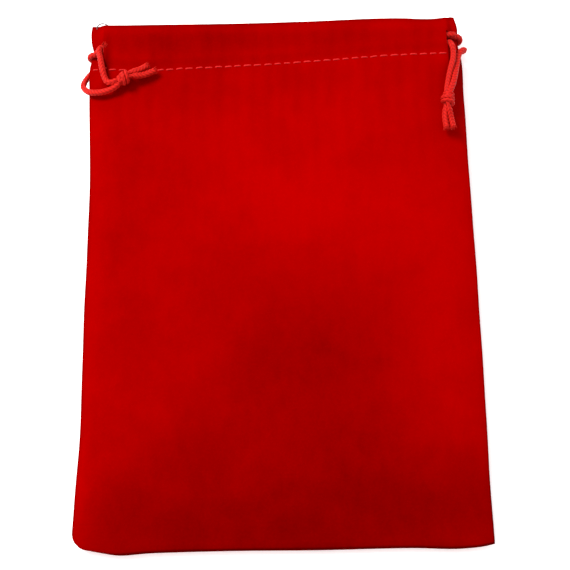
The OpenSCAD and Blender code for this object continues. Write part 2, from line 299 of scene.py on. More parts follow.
class Nodes:
    """A new material with a few short ways to add and join its nodes."""

    def __init__(self, name):
        self.material = bpy.data.materials.new(name)
        self.material.use_nodes = True
        self.tree = self.material.node_tree
        self.shader = self.tree.nodes["Principled BSDF"]
        self.place = self.tree.nodes.new("ShaderNodeTexCoord").outputs["Object"]

    def add(self, kind, values=(), **settings):
        node = self.tree.nodes.new(kind)
        for key, value in settings.items():
            setattr(node, key, value)
        for key, value in dict(values).items():
            if isinstance(value, bpy.types.NodeSocket):
                self.tree.links.new(value, node.inputs[key])
            else:
                node.inputs[key].default_value = value
        return node

    def stretched(self, scale):
        """Places for a noise that is drawn out along an axis whose scale is under 1."""
        return self.add("ShaderNodeMapping", {"Vector": self.place, "Scale": scale}).outputs["Vector"]

    def noise(self, scale, detail=2.0, roughness=0.5, vector=None):
        values = {"Vector": vector or self.place, "Scale": scale, "Detail": detail, "Roughness": roughness}
        return self.add("ShaderNodeTexNoise", values).outputs["Fac"]

    def attribute(self, name):
        return self.add("ShaderNodeAttribute", attribute_name=name).outputs["Fac"]

    def added(self, a, b):
        return self.add("ShaderNodeMath", {0: a, 1: b}, operation="ADD").outputs[0]

    def scaled(self, value, factor):
        return self.add("ShaderNodeMath", {0: value, 1: factor}, operation="MULTIPLY").outputs[0]

    def ranged(self, value, low, high, to_low, to_high):
        """The value, held between low and high and turned into to_low to to_high."""
        values = {"Value": value, "From Min": low, "From Max": high, "To Min": to_low, "To Max": to_high}
        return self.add("ShaderNodeMapRange", values).outputs["Result"]

    def mixed(self, share, low, high):
        """The colour low where the share is 0, and high where it is 1."""
        node = self.add("ShaderNodeMix", {0: share}, data_type="RGBA")
        for socket, colour in ((node.inputs[6], low), (node.inputs[7], high)):
            socket.default_value = (*colour, 1)
        return node.outputs[2]

    def bumped(self, height, strength, distance):
        values = {"Height": height, "Strength": strength, "Distance": distance}
        return self.add("ShaderNodeBump", values).outputs["Normal"]

    def finish(self, colour, normal, roughness, sheen, sheen_tint, sheen_roughness, specular):
        self.tree.links.new(colour, self.shader.inputs["Base Color"])
        self.tree.links.new(normal, self.shader.inputs["Normal"])
        for key, value in {
            "Roughness": roughness, "Specular IOR Level": specular, "Sheen Weight": sheen,
            "Sheen Tint": (*sheen_tint, 1), "Sheen Roughness": sheen_roughness,
        }.items():
            self.shader.inputs[key].default_value = value
        return self.material


def velvet_material():
    """Short cut pile: fine mottling, brushed streaks along the bag, and a red sheen at a slant."""
    n = Nodes("velvet")
    pile = n.noise(1500, detail=3, roughness=0.6)
    streaks = n.noise(420, vector=n.stretched((1, 0.35, 1)))
    clouds = n.noise(60, detail=3, roughness=0.55)
    # The tone attribute holds the pile's own tone and, on the front, painted light and shade
    tone = n.attribute("pile_tone")
    tone = n.added(tone, n.ranged(pile, 0.3, 0.7, -0.03, 0.03))
    tone = n.added(tone, n.ranged(streaks, 0.3, 0.7, -0.014, 0.014))
    tone = n.added(tone, n.ranged(clouds, 0.4, 0.6, -0.03, 0.03))
    colour = n.mixed(tone, (0.07, 0, 0), (0.5, 0, 0))
    height = n.added(n.noise(2600, roughness=0.6), n.scaled(streaks, 0.5))
    normal = n.bumped(height, strength=0.35, distance=0.00012)
    return n.finish(
        colour, normal, roughness=1, sheen=0.2, sheen_tint=(1, 0, 0), sheen_roughness=0.45, specular=0)


def cord_material():
    """Braided rayon: ribs with fine fibres, and painted shade in the grooves between the ribs."""
    n = Nodes("cord")
    fibres = n.noise(3800, detail=3, roughness=0.6)
    # The rib attribute paints the grooves darker than the tops of the ribs: painted shade
    tone = n.added(n.attribute("rib"), n.ranged(fibres, 0.3, 0.7, -0.12, 0.12))
    colour = n.mixed(tone, (0.22, 0, 0), (0.57, 0.01, 0.005))
    normal = n.bumped(fibres, strength=0.5, distance=0.0001)
    return n.finish(
        colour, normal, roughness=0.65, sheen=0.12, sheen_tint=(1, 0.1, 0.08), sheen_roughness=0.4,
        specular=0.1)


def thread_material(name, dark, light):
    """Spun thread, mottled by its fibres."""
    n = Nodes(name)
    fibres = n.noise(5200, roughness=0.6)
    colour = n.mixed(n.ranged(fibres, 0.3, 0.7, 0, 1), dark, light)
    normal = n.bumped(fibres, strength=0.4, distance=0.00005)
    return n.finish(
        colour, normal, roughness=0.6, sheen=0.08, sheen_tint=(1, 0.3, 0.3), sheen_roughness=0.4,
        specular=0.1)


# ---------------------------------------------------------------- the bag's surfaces

def column_places():
    """Places across the bag: evenly to the slits, then closer and closer towards the side seam."""
    middle = np.linspace(0, SLIT_X, HALF_COLUMNS + 1)
    slit = SLIT_X + SLIT_WIDTH * np.linspace(0.25, 1, 4)
    edge = HALF_W - EDGE_R * (1 - np.cos(np.radians(np.arange(90, -1, -ARC_STEP))))
    half = np.concatenate([middle, slit, [SLIT_X + 3], edge])
    return np.concatenate([-half[:0:-1], half])


def row_places():
    """Places along the bag, from the bottom seam to the top of the slits."""
    edge = -HALF_H + EDGE_R * (1 - np.cos(np.radians(np.arange(0, 91, ARC_STEP))))
    return np.concatenate([
        edge,
        np.linspace(edge[-1], FAN_LOW, BODY_ROWS + 1)[1:],
        np.linspace(FAN_LOW, FAN_HIGH, HALF_COLUMNS + 1)[1:],
        np.linspace(FAN_HIGH, SLIT_LOW, NECK_ROWS + 1)[1:],
        np.linspace(SLIT_LOW, SLIT_HIGH, SLIT_ROWS + 1)[1:],
    ])


COLUMNS = column_places()
ROWS = row_places()
TOP_SHARES = np.linspace(0, 1, TOP_ROWS + 1)[1:]
FOLD_ANGLES = np.radians(np.arange(ARC_STEP, 91, ARC_STEP))


def casing_share(u):
    """How full a casing is: 0 in the strip along the side seam, and 1 from its slit inwards."""
    return smooth((HALF_W - abs(u) - STRIP_W) / (SHOULDER - STRIP_W))


def fold_radius(u):
    return CLOTH_T + FOLD_EASE * casing_share(u)


def fold_start(u):
    """Where along the bag the fold at the mouth starts to turn in."""
    return eased(u, MOUTH_LINE) - fold_radius(u)


def seam_height(u, y):
    """Height of the surface in which the two panels meet at the seams."""
    wave = sum(height * np.sin(y / length + phase * np.sign(u)) for height, length, phase in SEAM_WAVES)
    side = 1 - smooth((HALF_W - abs(u)) / SEAM_WAVE_REACH)
    return eased(y, SEAM_Z) + wave * side * (1 - smooth((y - SEAM_WAVE_END) / SEAM_WAVE_FADE))


def casing_middle(u, y, face):
    """Height of the middle of the casing of one face: face is 1 for the front and -1 for the back."""
    seam = seam_height(u, y)
    sink = FOLD_SINK * smooth((y - SLIT_HIGH) / FOLD_SINK_LENGTH)
    cord = MID_Z + face * (MID_Z - CORD_DEPTH) - face * sink
    strip = seam + face * CLOTH_T
    return strip + casing_share(u) * (cord - strip)


def casing_half(u, y):
    """Half the thickness of a casing: thin at its stitches and its fold, full over the cords."""
    up = y - eased(u, STITCH_LINE)
    full = STITCHED_HALF + (CORD_DEPTH - STITCHED_HALF) * smooth((up - SWELL_START) / SWELL_LENGTH)
    to_fold = smooth((fold_start(u) - y) / (fold_start(u) - SLIT_HIGH))
    half = np.where(y > SLIT_HIGH, FOLD_HALF + (full - FOLD_HALF) * to_fold, full)
    return CLOTH_T + casing_share(u) * (half - CLOTH_T)


def drape(x, y):
    """The waves of the slack front."""
    total = 0.0
    for height, length, direction, phase in DRAPE_WAVES:
        along = x * math.cos(math.radians(direction)) + y * math.sin(math.radians(direction))
        total = total + height * np.sin(2 * math.pi * along / length + phase)
    return total


def gathers(x, y, face):
    """Slight upright ripples of the front of the neck, which steepen when it is drawn in."""
    ripple = np.sin(2 * math.pi * (x + 0.6 * np.sin(y / 7)) / GATHER_PITCH + np.sin(x / 9))
    upright = smooth((y - FAN_LOW) / GATHER_RISE) * (1 - 0.8 * smooth((y - SLIT_HIGH) / 4))
    inward = smooth((HALF_W - abs(x) - 4) / 6)
    return GATHER_HEIGHT * (1 + ripple) * upright * inward * (face > 0)


def body_height(u, y, face):
    """Height of one face below the casings: the front is crowned, and the back lies on the table."""
    seam = seam_height(u, y)
    side, up = HALF_W - abs(u), y + HALF_H
    if face > 0:
        crown = eased(y, FRONT_TOP) + drape(u, y) - seam - EDGE_R
        return seam + EDGE_R + crown * swell(side / SIDE_RISE) * swell(up / BOTTOM_RISE)
    crown = seam - EDGE_R - BACK_Z
    return seam - EDGE_R - crown * swell(side / BACK_RISE) * swell(up / BACK_RISE)


def face_height(u, y, face):
    """Height of the outside of one face, before its edges are rounded."""
    casing = casing_middle(u, y, face) + face * casing_half(u, y)
    share = smooth((y - eased(u, STITCH_LINE) + FADE_START) / FADE_LENGTH)
    return share * casing + (1 - share) * body_height(u, y, face) + gathers(u, y, face)


def edge_rounding(u, v):
    """The share of its height over the seam that a face keeps: 0 at an edge, and 1 past its rounding."""
    return roundness((HALF_W - abs(u)) / EDGE_R) * roundness((v + HALF_H) / EDGE_R)


def outline_x(u, v):
    """Where a place across the bag lies, inside the real outline of the sides. The bottom left corner
    is round, and the right one is nearly square."""
    edge = np.where(u > 0, eased(v, RIGHT_EDGE), eased(v, LEFT_EDGE))
    up = v + HALF_H
    corner = CORNER_R - np.sqrt(CORNER_R ** 2 - np.clip(CORNER_R - up, 0, CORNER_R) ** 2)
    edge = np.where(u > 0, edge, edge + corner)
    start = CORNER_X + (SLIT_X - CORNER_X) * smooth(up / (2 * CORNER_R))
    out = np.maximum(abs(u) - start, 0) / (HALF_W - start)
    return np.where(out > 0, np.sign(u) * start + out * (edge - np.sign(u) * start), u)


def outline_y(u, v):
    """Where a place along the bag lies, above the real outline of the bottom."""
    low = clamp((BOTTOM_Y - v) / (HALF_H + BOTTOM_Y))
    return v + (eased(u, BOTTOM_LINE) + HALF_H) * low


def seam_groove(u):
    """How far the seam line lies inside the rounded edge."""
    return GROOVE_DEPTH * (1 - smooth((HALF_W - abs(u)) / GROOVE_WIDTH))


def panel_points(face):
    """The outside of a panel, from the bottom seam to the ridge of its fold at the mouth."""
    u, v = np.meshgrid(COLUMNS, ROWS)
    z = face_height(u, v, face)
    seam = seam_height(u, v)
    z = seam + (z - seam) * edge_rounding(u, v)
    x = outline_x(u, v) - np.sign(u) * seam_groove(u)
    body = np.stack([x, outline_y(u, v), z], axis=2)

    u, share = np.meshgrid(COLUMNS, TOP_SHARES)
    y = SLIT_HIGH + share * (fold_start(u) - SLIT_HIGH)
    seam = seam_height(u, y)
    z = seam + (face_height(u, y, face) - seam) * edge_rounding(u, y)
    x = outline_x(u, y) - np.sign(u) * seam_groove(u)
    top = np.stack([x, y, z], axis=2)
    return np.concatenate([body, top, fold_points(face, COLUMNS, FOLD_ANGLES)])


def fold_points(face, columns, angles):
    """The fold at the mouth, at angles from 0 on the outside to 180 degrees on the inside."""
    u, angle = np.meshgrid(columns, angles)
    y = fold_start(u)
    seam = seam_height(u, y)
    z = casing_middle(u, y, face) + face * fold_radius(u) * np.cos(angle)
    z = seam + (z - seam) * edge_rounding(u, y) + gathers(u, y, face)
    x = outline_x(u, y) - np.sign(u) * seam_groove(u)
    return np.stack([x, y + fold_radius(u) * np.sin(angle), z], axis=2)


def hem_points(face):
    """The side of a hem that faces the inside of the bag, from the fold to its turned edge."""
    fold = fold_points(face, COLUMNS, math.pi - FOLD_ANGLES[::-1])
    # Rows between four lines: the fold is 0, the slits' upper and lower ends 1 and 2, the edge 3
    downs = np.concatenate([np.linspace(0, 1, 6)[:-1], np.linspace(1, 2, 6)[:-1], np.linspace(2, 3, 16)])
    u, down = np.meshgrid(COLUMNS, downs)
    above = fold_start(u) + down * (SLIT_HIGH - fold_start(u))
    beside = SLIT_HIGH + (down - 1) * (SLIT_LOW - SLIT_HIGH)
    below = SLIT_LOW + (down - 2) * (eased(u, STITCH_LINE) - HEM_EDGE - SLIT_LOW)
    y = np.where(down < 1, above, np.where(down < 2, beside, below))
    seam = seam_height(u, y)
    z = face_height(u, y, face) - face * (2 * casing_half(u, y) - 0.04) - gathers(u, y, face)
    z = seam + (z - seam) * edge_rounding(u, y)
    points = np.concatenate([fold, np.stack([outline_x(u, y), y, z], axis=2)])
    inset = clamp((abs(COLUMNS) - HEM_INSET_X) / (HALF_W - HEM_INSET_X))
    points[:, :, 0] -= np.sign(points[:, :, 0]) * (CLOTH_T + 0.05) * inset
    return points


def grid_normals(points, side):
    """Unit normals of a grid of points, on the given side of it."""
    along, across = np.gradient(points, axis=0), np.gradient(points, axis=1)
    normal = np.cross(across, along) * side
    return normal / np.maximum(np.linalg.norm(normal, axis=2, keepdims=True), 1e-9)


def pile_tone(x, y):
    """The tone of the front: the pile's own tone, with painted light and shade from the patches and painted
    shade along the seams and the fold.
    """
    tone = np.full(np.shape(x), PILE_TONE)
    for px, py, wide, long, change in PILE_AND_LIGHT_PATCHES:
        tone = tone + change * np.exp(-((x - px) / wide) ** 2 - ((y - py) / long) ** 2)
    sides = np.minimum(x - eased(y, LEFT_EDGE), eased(y, RIGHT_EDGE) - x)
    ends = np.minimum(y - eased(x, BOTTOM_LINE), eased(x, MOUTH_LINE) - y)
    inward = np.minimum(sides, ends)
    return tone - EDGE_SHADE * np.exp(-(np.maximum(inward, 0) / EDGE_SHADE_W) ** 2)


def thick_sheet(name, points, side, cells, material, tone):
    """A closed sheet of cloth under the cells of a grid. Its outside is on the given side, 1 or -1.
    Each cell is (row, column, corner): corner is None for a whole cell, or the one left out."""
    columns = points.shape[1]
    normals = grid_normals(points, side).reshape(-1, 3)
    outside = points.reshape(-1, 3)
    inside = outside - CLOTH_T * normals
    count = len(outside)

    faces = []
    for row, column, missing in cells:
        a = row * columns + column
        corners = [a, a + 1, a + columns + 1, a + columns]
        if missing is not None:
            corners.pop(missing)
        faces.append(corners if side > 0 else corners[::-1])
    edges = {(f[k], f[(k + 1) % len(f)]) for f in faces for k in range(len(f))}
    rim = [(a, b) for a, b in sorted(edges) if (b, a) not in edges]

    inner_faces = [[count + corner for corner in face[::-1]] for face in faces]
    walls = [[b, a, a + count, b + count] for a, b in rim]
    every = faces + inner_faces + walls
    spots = np.concatenate([outside, inside])
    corner_normals = [normals[c] for face in faces for c in face]
    corner_normals += [-normals[c - count] for face in inner_faces for c in face]
    for wall in walls:
        across = np.cross(spots[wall[2]] - spots[wall[0]], spots[wall[3]] - spots[wall[1]])
        corner_normals += [across / max(np.linalg.norm(across), 1e-9)] * 4

    used = np.unique(np.concatenate([np.array(face) for face in every]))
    index = np.zeros(2 * count, int)
    index[used] = np.arange(len(used))
    every = [index[face].tolist() for face in every]
    tones = np.concatenate([tone.reshape(-1), tone.reshape(-1)])[used]
    return mesh_piece(name, spots[used], every, material, corner_normals, pile_tone=tones)


# ---------------------------------------------------------------- pieces of the bag

MIDDLE = len(COLUMNS) // 2
FAN_ROW = int(np.argmin(abs(ROWS - FAN_LOW)))
NECK_ROW = FAN_ROW + HALF_COLUMNS
SLIT_ROW = len(ROWS) - 1 - SLIT_ROWS
SIDES = {"left": -1, "right": 1}


def in_slit(row, column):
    """Whether a cell is part of a slit. The left slits lie lower than the right ones."""
    x = COLUMNS[column:column + 2].mean()
    low = SLIT_ROW if x > 0 else SLIT_ROW - LEFT_SLIT_DROP
    return low <= row < low + SLIT_ROWS and SLIT_X < abs(x) < SLIT_X + SLIT_WIDTH


# The corner that a neck or a flank leaves out of a cell that the diagonal between them splits
SPLIT_CORNERS = {("neck", 1): 1, ("flank", 1): 3, ("neck", -1): 0, ("flank", -1): 2}


def zone_cells(points, zone, side):
    """The cells of one piece of a panel: its body, or the neck or the flank on one side. The flank lies
    under the neck. They meet on a diagonal of the grid, which splits the cells that it crosses."""
    cells = []
    for row in range(points.shape[0] - 1):
        for column in range(points.shape[1] - 1):
            from_middle = column - MIDDLE if column >= MIDDLE else MIDDLE - 1 - column
            cell_side = 1 if column >= MIDDLE else -1
            if row < FAN_ROW:
                belongs, missing = zone == "body", None
            elif cell_side != side:
                continue
            elif row - FAN_ROW == from_middle and row < NECK_ROW:
                belongs, missing = zone != "body", SPLIT_CORNERS.get((zone, side))
            else:
                above = row >= NECK_ROW or row - FAN_ROW > from_middle
                belongs, missing = zone == ("neck" if above else "flank"), None
            if belongs and not in_slit(row, column):
                cells.append((row, column, missing))
    return cells


def moves_with_neck(piece):
    """Bakes the transform of a piece of the neck into its mesh."""
    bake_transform(piece)


def moves_with_flank(piece):
    """Bakes the transform of a piece of a flank or a side seam into its mesh."""
    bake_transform(piece)


def add_panel(name, face, velvet):
    """A panel in five pieces that meet edge to edge: its body, and a neck and a flank on each side."""
    points = panel_points(face)
    x, y = points[:, :, 0], points[:, :, 1]
    tone = pile_tone(x, y) if face > 0 else np.full(x.shape, PILE_TONE)

    def cut(label, zone, side):
        cells = zone_cells(points, zone, side)
        piece = thick_sheet(f"{name}_{label}", points, face, cells, velvet, tone)
        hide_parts(name)
        return piece

    body = cut("body", "body", 0)
    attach(body, "bag")
    for label, side in SIDES.items():
        neck = cut(f"{label}_neck", "neck", side)
        moves_with_neck(neck)
        flank = cut(f"{label}_flank", "flank", side)
        moves_with_flank(flank)


def add_hem(name, face, velvet):
    """A hem in two halves, one for each side of the neck."""
    points = hem_points(face)
    tone = np.full(points.shape[:2], INNER_TONE)
    for label, side in SIDES.items():
        columns = range(MIDDLE, len(COLUMNS) - 1) if side > 0 else range(MIDDLE)
        cells = [(row, column, None) for row in range(len(points) - 1) for column in columns]
        hem = thick_sheet(f"{name}_{label}", points, face, cells, velvet, tone)
        moves_with_neck(hem)
        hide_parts(name)


# ---------------------------------------------------------------- tubes, cords and knots

# The braid: rows of ribs round the cord, the length of a rib along it, and the radius in its grooves
# and the height of its ribs, as shares of the cord's radius
BRAID_ROWS = 4
BRAID_PITCH = 1.25
BRAID_GROOVE = 0.83
BRAID_RELIEF = 0.28
FIBRE_TONE = 0.75  # how light loose fibres are, on the ribs' scale from 0 to 1
FRAY_HAIRS = 56
FUZZ_HAIRS = 44


def step_lengths(line):
    return np.linalg.norm(np.diff(line, axis=0), axis=1)


def distance_along(line):
    return np.concatenate([[0], np.cumsum(step_lengths(line))])


def smooth_route(points, step):
    """A smooth curve through given points, with a point every step along it."""
    p = np.array(points, float)
    p = np.concatenate([[2 * p[0] - p[1]], p, [2 * p[-1] - p[-2]]])
    t = np.linspace(0, 1, 24, endpoint=False)[:, None]
    dense = []
    for a, b, c, d in zip(p[:-3], p[1:-2], p[2:-1], p[3:]):
        bend = (2 * a - 5 * b + 4 * c - d) * t ** 2 + (3 * b - a - 3 * c + d) * t ** 3
        dense.append(0.5 * (2 * b + (c - a) * t + bend))
    line = np.concatenate(dense + [p[-2:-1]])
    along = distance_along(line)
    at = np.linspace(0, along[-1], max(2, round(along[-1] / step)))
    return np.stack([np.interp(at, along, line[:, k]) for k in range(3)], axis=1)


def carried_frame(line):
    """Two directions across each point of a line, carried along it without twist."""
    heading = np.gradient(line, axis=0)
    heading /= np.linalg.norm(heading, axis=1, keepdims=True)
    first = np.cross(heading[0], (0.3, 0.2, 1.0))
    sides = []
    for h in heading:
        first = first - h * (first @ h)
        first = first / np.linalg.norm(first)
        sides.append(first)
    sides = np.array(sides)
    return sides, np.cross(heading, sides)


def tube_mesh(line, radii, sides):
    """Points and faces of a closed tube. radii has a row for each point of the line."""
    across, up = carried_frame(line)
    turn = (2 * math.pi * np.arange(sides) / sides)[None, :, None]
    ring = np.cos(turn) * across[:, None, :] + np.sin(turn) * up[:, None, :]
    points = (line[:, None, :] + radii[:, :, None] * ring).reshape(-1, 3)
    start, corner = np.meshgrid(np.arange(len(line) - 1) * sides, np.arange(sides), indexing="ij")
    a, b = start + corner, start + (corner + 1) % sides
    faces = np.stack([a, b, b + sides, a + sides], axis=2).reshape(-1, 4).tolist()
    last = (len(line) - 1) * sides
    faces.append(list(range(sides - 1, -1, -1)))
    faces.append([last + k for k in range(sides)])
    return points, faces


def braid(line, radius, sides):
    """Radii of a round braid, with rows of slanting ribs in turn this way and that, and how high
    each point lies on its rib. radius is a number, or one for each point of the line."""
    along = distance_along(line)[:, None]
    place = (np.arange(sides) / sides * BRAID_ROWS)[None, :]
    row = np.floor(place)
    off = 2 * (place - row) - 1
    slant = np.where(row % 2 == 0, 1, -1)
    rib = abs(np.cos(math.pi * (along / BRAID_PITCH + slant * off * 0.5))) ** 0.8
    height = (1 - 0.5 * off ** 2) * (0.2 + 0.8 * rib)
    return np.reshape(radius, (-1, 1)) * (BRAID_GROOVE + BRAID_RELIEF * height), height


def braided_piece(name, line, radius, sides, cord):
    radii, height = braid(line, radius, sides)
    points, faces = tube_mesh(line, radii, sides)
    return mesh_piece(name, points, faces, cord, rib=height.reshape(-1))


def thread_mesh(line, radius):
    """A round thread of six sides."""
    return tube_mesh(line, np.full((len(line), 6), radius), 6)


def hair_mesh(line, root_radius, tip_radius):
    """A fine fibre of four sides that thins towards its tip."""
    radii = np.linspace(root_radius, tip_radius, len(line))[:, None]
    return tube_mesh(line, np.repeat(radii, 4, axis=1), 4)


def joined(meshes):
    """Several (points, faces) as one."""
    points, faces, start = [], [], 0
    for some_points, some_faces in meshes:
        points.append(some_points)
        faces += [[start + corner for corner in face] for face in some_faces]
        start += len(some_points)
    return np.concatenate(points), faces


def fuzz_piece(name, hairs, cord):
    points, faces = joined(hairs)
    return mesh_piece(name, points, faces, cord, rib=np.full(len(points), FIBRE_TONE))


# The hem is sewn at a slant, so the left ends of the two tracks lie this much lower: the upper one at
# the left tie, and the lower one where it wraps round the left edge
LEFT_DIP = 2
LEFT_WRAP_DIP = 0.8
LEFT_TIE = np.array([-SLIT_X, UPPER_Y, 0])
RIGHT_TIE = np.array([SLIT_X, LOWER_Y, 0])
WRAP_R = 2.3  # the bend of a cord round the side edge

# The two ties. corner is where the cord leaves the casings, and all other places are measured from it.
# turn and roll are the knot's angles in degrees, front_side is the side of the knot that the front
# strand takes, and dip is how far the cord's ways out of the casings are lowered.
TIES = {
    "left": dict(
        corner=LEFT_TIE, knot=[8, -15.5, 13.6], turn=28, roll=0, front_side=1, dip=LEFT_DIP,
        front_leg=[
            [0, 0, 9.7], [-1.2, 0, 9.7], [-1.6, -2, 11], [-1.4, -4.7, 11.2], [-1.1, -6.5, 11.6],
            [-0.6, -8.8, 12.2], [0, -11.6, 12.4], [0.8, -14.5, 12], [1.8, -16.2, 12.2],
            [3.4, -16.7, 12.7], [5.2, -15.8, 13.3]],
        back_leg=[
            [0, 0, 1.7], [-1.3, 0, 1.7], [-2.6, -1.3, 1], [-3.6, -4.2, 1], [-4.9, -7, 2.2],
            [-6.4, -10, 3.9], [-7.4, -12.9, 5.2], [-7.3, -15.2, 6.4], [-5.8, -17.4, 7.9],
            [-4, -18.6, 9.2], [-0.4, -19.3, 10.7], [3.4, -18.8, 12], [6, -17.6, 13.1]],
        front_tail=[[9.9, -14, 13.5], [12.5, -12.4, 13], [15, -10.7, 12.5]],
        back_tail=[[10.3, -15.9, 13.5], [13.9, -14.4, 13], [17.6, -12.6, 12.5]]),
    "right": dict(
        corner=RIGHT_TIE, knot=[-1.2, -22.7, 12.1], turn=-90, roll=60, front_side=-1, dip=0,
        front_leg=[
            [0, 0, 9.7], [1.3, 0, 9.7], [1.9, -2, 10.8], [2.1, -4.4, 10.7], [1.8, -6.8, 11],
            [1, -9.7, 11.4], [0.2, -12.6, 11.2], [-0.5, -15.8, 10.9], [-1, -18.4, 11], [-1.3, -20.4, 11.2]],
        back_leg=[
            [0, 0, 1.7], [1.3, 0, 1.7], [3.2, 0.1, 1.7], [5.4, -0.1, 2.8], [6.6, -0.5, 4.8],
            [6.4, -1.3, 6.9], [4.9, -2.8, 8.4], [3.8, -5.5, 9.2], [3.2, -8.2, 9.8], [2.5, -11.1, 10.6],
            [1.8, -14.1, 11.5], [0.9, -17, 12.3], [-0.1, -20.5, 12.8]],
        front_tail=[[-2.1, -24.8, 11.8], [-2.3, -28.6, 11.1], [-2, -32.2, 10.8]],
        back_tail=[[-0.2, -24.9, 11.5], [-0.3, -28.5, 10.9], [0.3, -31.9, 10.6]]),
}

# The overhand knot of the doubled cord. Its strands are squeezed to SQUEEZED_R, run STRAND_OFF from its
# axis, or ENTRY_OFF at its two ends, and wind round it at KNOT_RADIUS. The legs and tails keep KNOT_REACH
# from its middle. The cord swells from SQUEEZE_START on, and has its full radius SQUEEZE_FADE later.
SQUEEZED_R = 0.6
STRAND_OFF = 0.62
ENTRY_OFF = 0.72
KNOT_RADIUS = 1.7
KNOT_REACH = 3.6
SQUEEZE_START = 2.3
SQUEEZE_FADE = 1.4


def knot_points(strand):
    """One strand of an overhand knot, from the legs at -X to the tails at +X. The strand runs through
    the middle, turns back, winds one and a half turns round both strands and comes out through the
    middle again. strand is 1 or -1 for the two strands side by side."""
    off, entry = strand * STRAND_OFF, strand * ENTRY_OFF
    points = [(-2.2, entry, -0.5), (-0.6, off, -0.62), (1.2 + 0.3 * strand, off, -0.7)]
    for angle in range(-90, 451, 45):
        turn = (angle + 90) / 360
        dive = float(smooth((angle - 315) / 135))
        radius = KNOT_RADIUS + (STRAND_OFF - KNOT_RADIUS) * dive
        x = CORD_R - 2 * CORD_R * turn + off * (1 - 0.5 * dive)
        a = math.radians(angle)
        points.append((x, radius * math.cos(a) + off * dive, radius * math.sin(a)))
    return points + [(-0.7, off, 0.64), (0.8, off, 0.66), (2.1, entry, 0.45)]


def in_place(tie, point):
    return tie["corner"] + np.array(point, float)


def led_in(tie, legs):
    """A leg with its first points moved with the end of the track that it leaves."""
    for number, share in enumerate((1, 1, 0.7, 0.3)):
        legs[number] = legs[number] - np.array([0, tie["dip"] * share, 0])
    return legs


def strand_route(tie, end):
    """A drawstring's free end, from its slit through the knot to its tip, and how full the cord is at
    each point: 0 inside the knot and 1 outside it."""
    strand = tie["front_side"] * (1 if end == "front" else -1)
    middle = in_place(tie, tie["knot"])
    turn = Matrix.Rotation(math.radians(tie["turn"]), 3, "Z")
    turned = turn @ Matrix.Rotation(math.radians(tie["roll"]), 3, "X")
    legs = led_in(tie, [in_place(tie, p) for p in tie[f"{end}_leg"]])
    tails = [in_place(tie, p) for p in tie[f"{end}_tail"]]
    legs = [p for p in legs if np.linalg.norm(p - middle) > KNOT_REACH]
    tails = [p for p in tails if np.linalg.norm(p - middle) > KNOT_REACH]
    inner = [middle + np.array(turned @ Vector(point)) for point in knot_points(strand)]
    line = smooth_route(legs + inner + tails, step=0.16)
    return line, smooth((np.linalg.norm(line - middle, axis=1) - SQUEEZE_START) / SQUEEZE_FADE)


def frayed_tip(name, line, seed, cord):
    """Loose fibres at a cut end."""
    rng = np.random.default_rng(seed=seed)
    end, heading = line[-1], line[-1] - line[-8]
    heading /= np.linalg.norm(heading)
    across, up = (direction[-1] for direction in carried_frame(line[-20:]))
    hairs = []
    for _ in range(FRAY_HAIRS):
        angle, out = rng.uniform(0, 2 * math.pi), 0.8 * math.sqrt(rng.uniform(0.05, 1))
        away = math.cos(angle) * across + math.sin(angle) * up
        start = end - 0.7 * heading + out * away
        reach, bend = rng.uniform(0.8, 1.9), rng.uniform(0.1, 0.9)
        t = np.linspace(0, 1, 5)[:, None]
        hair = start + reach * t * (heading + 0.25 * bend * away) + 0.5 * bend * t ** 2 * away
        hairs.append(hair_mesh(hair, root_radius=0.11, tip_radius=0.03))
    return fuzz_piece(name, hairs, cord)


def add_tie(name, cord):
    """The two free ends of a drawstring, from its slits through its knot to its frayed tips."""
    tie = TIES[name]
    body = f"{name}_drawstring"
    for number, end in enumerate(("front", "back")):
        line, fullness = strand_route(tie, end)
        radius = SQUEEZED_R + (CORD_R - SQUEEZED_R) * fullness
        piece = braided_piece(f"{body}_{end}_end", line, radius, sides=36, cord=cord)
        seed = 11 + number + 5 * tie["front_side"]
        fray = frayed_tip(f"{body}_{end}_fray", line, seed, cord)
        for made in (piece, fray):
            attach(made, body)
        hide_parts(f"{body}_{end}_leg", f"{body}_{end}_tail", f"{body}_knot")


def track_run(start, end, z):
    """A cord's way across the bag in one track, level until it comes near its end."""
    shares = np.linspace(0, 1, 5)
    return [[SLIT_X * (2 * share - 1), start + share ** 6 * (end - start), z] for share in shares]


def add_loop(name, y, side, tied_dip, wrap_dip, lean, cord):
    """The part of a drawstring in the casings, with its wrap round the far side edge. The two dips
    are how far its ends lie below y, and lean how far the wrap's upper part lies above its lower one."""
    front, back = BAG_T - CORD_DEPTH, CORD_DEPTH
    tied, wrapped = y - tied_dip, y - wrap_dip
    middle = abs(float(outline_x(side * HALF_W, wrapped))) - WRAP_R + CORD_R
    wrap = [[SLIT_X + 2, wrapped + 0.8 * lean, front - 1.3]]
    for angle in np.radians(np.arange(90, -91, -30)):
        out, up = math.cos(angle), math.sin(angle)
        wrap.append([middle + WRAP_R * out, wrapped + lean * (1 + up) / 2, MID_Z + WRAP_R * up])
    wrap.append([SLIT_X + 2, wrapped, back + 1.3])
    there, home = track_run(tied, wrapped + lean / 2, front), track_run(tied, wrapped, back)
    line = smooth_route(there + wrap + home[::-1], step=0.2)
    line[:, 0] *= side
    piece = braided_piece(f"{name}_drawstring_run", line, CORD_R, sides=24, cord=cord)
    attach(piece, f"{name}_drawstring")
    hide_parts(f"{name}_drawstring_loop")


# ---------------------------------------------------------------- stitches and seam allowances

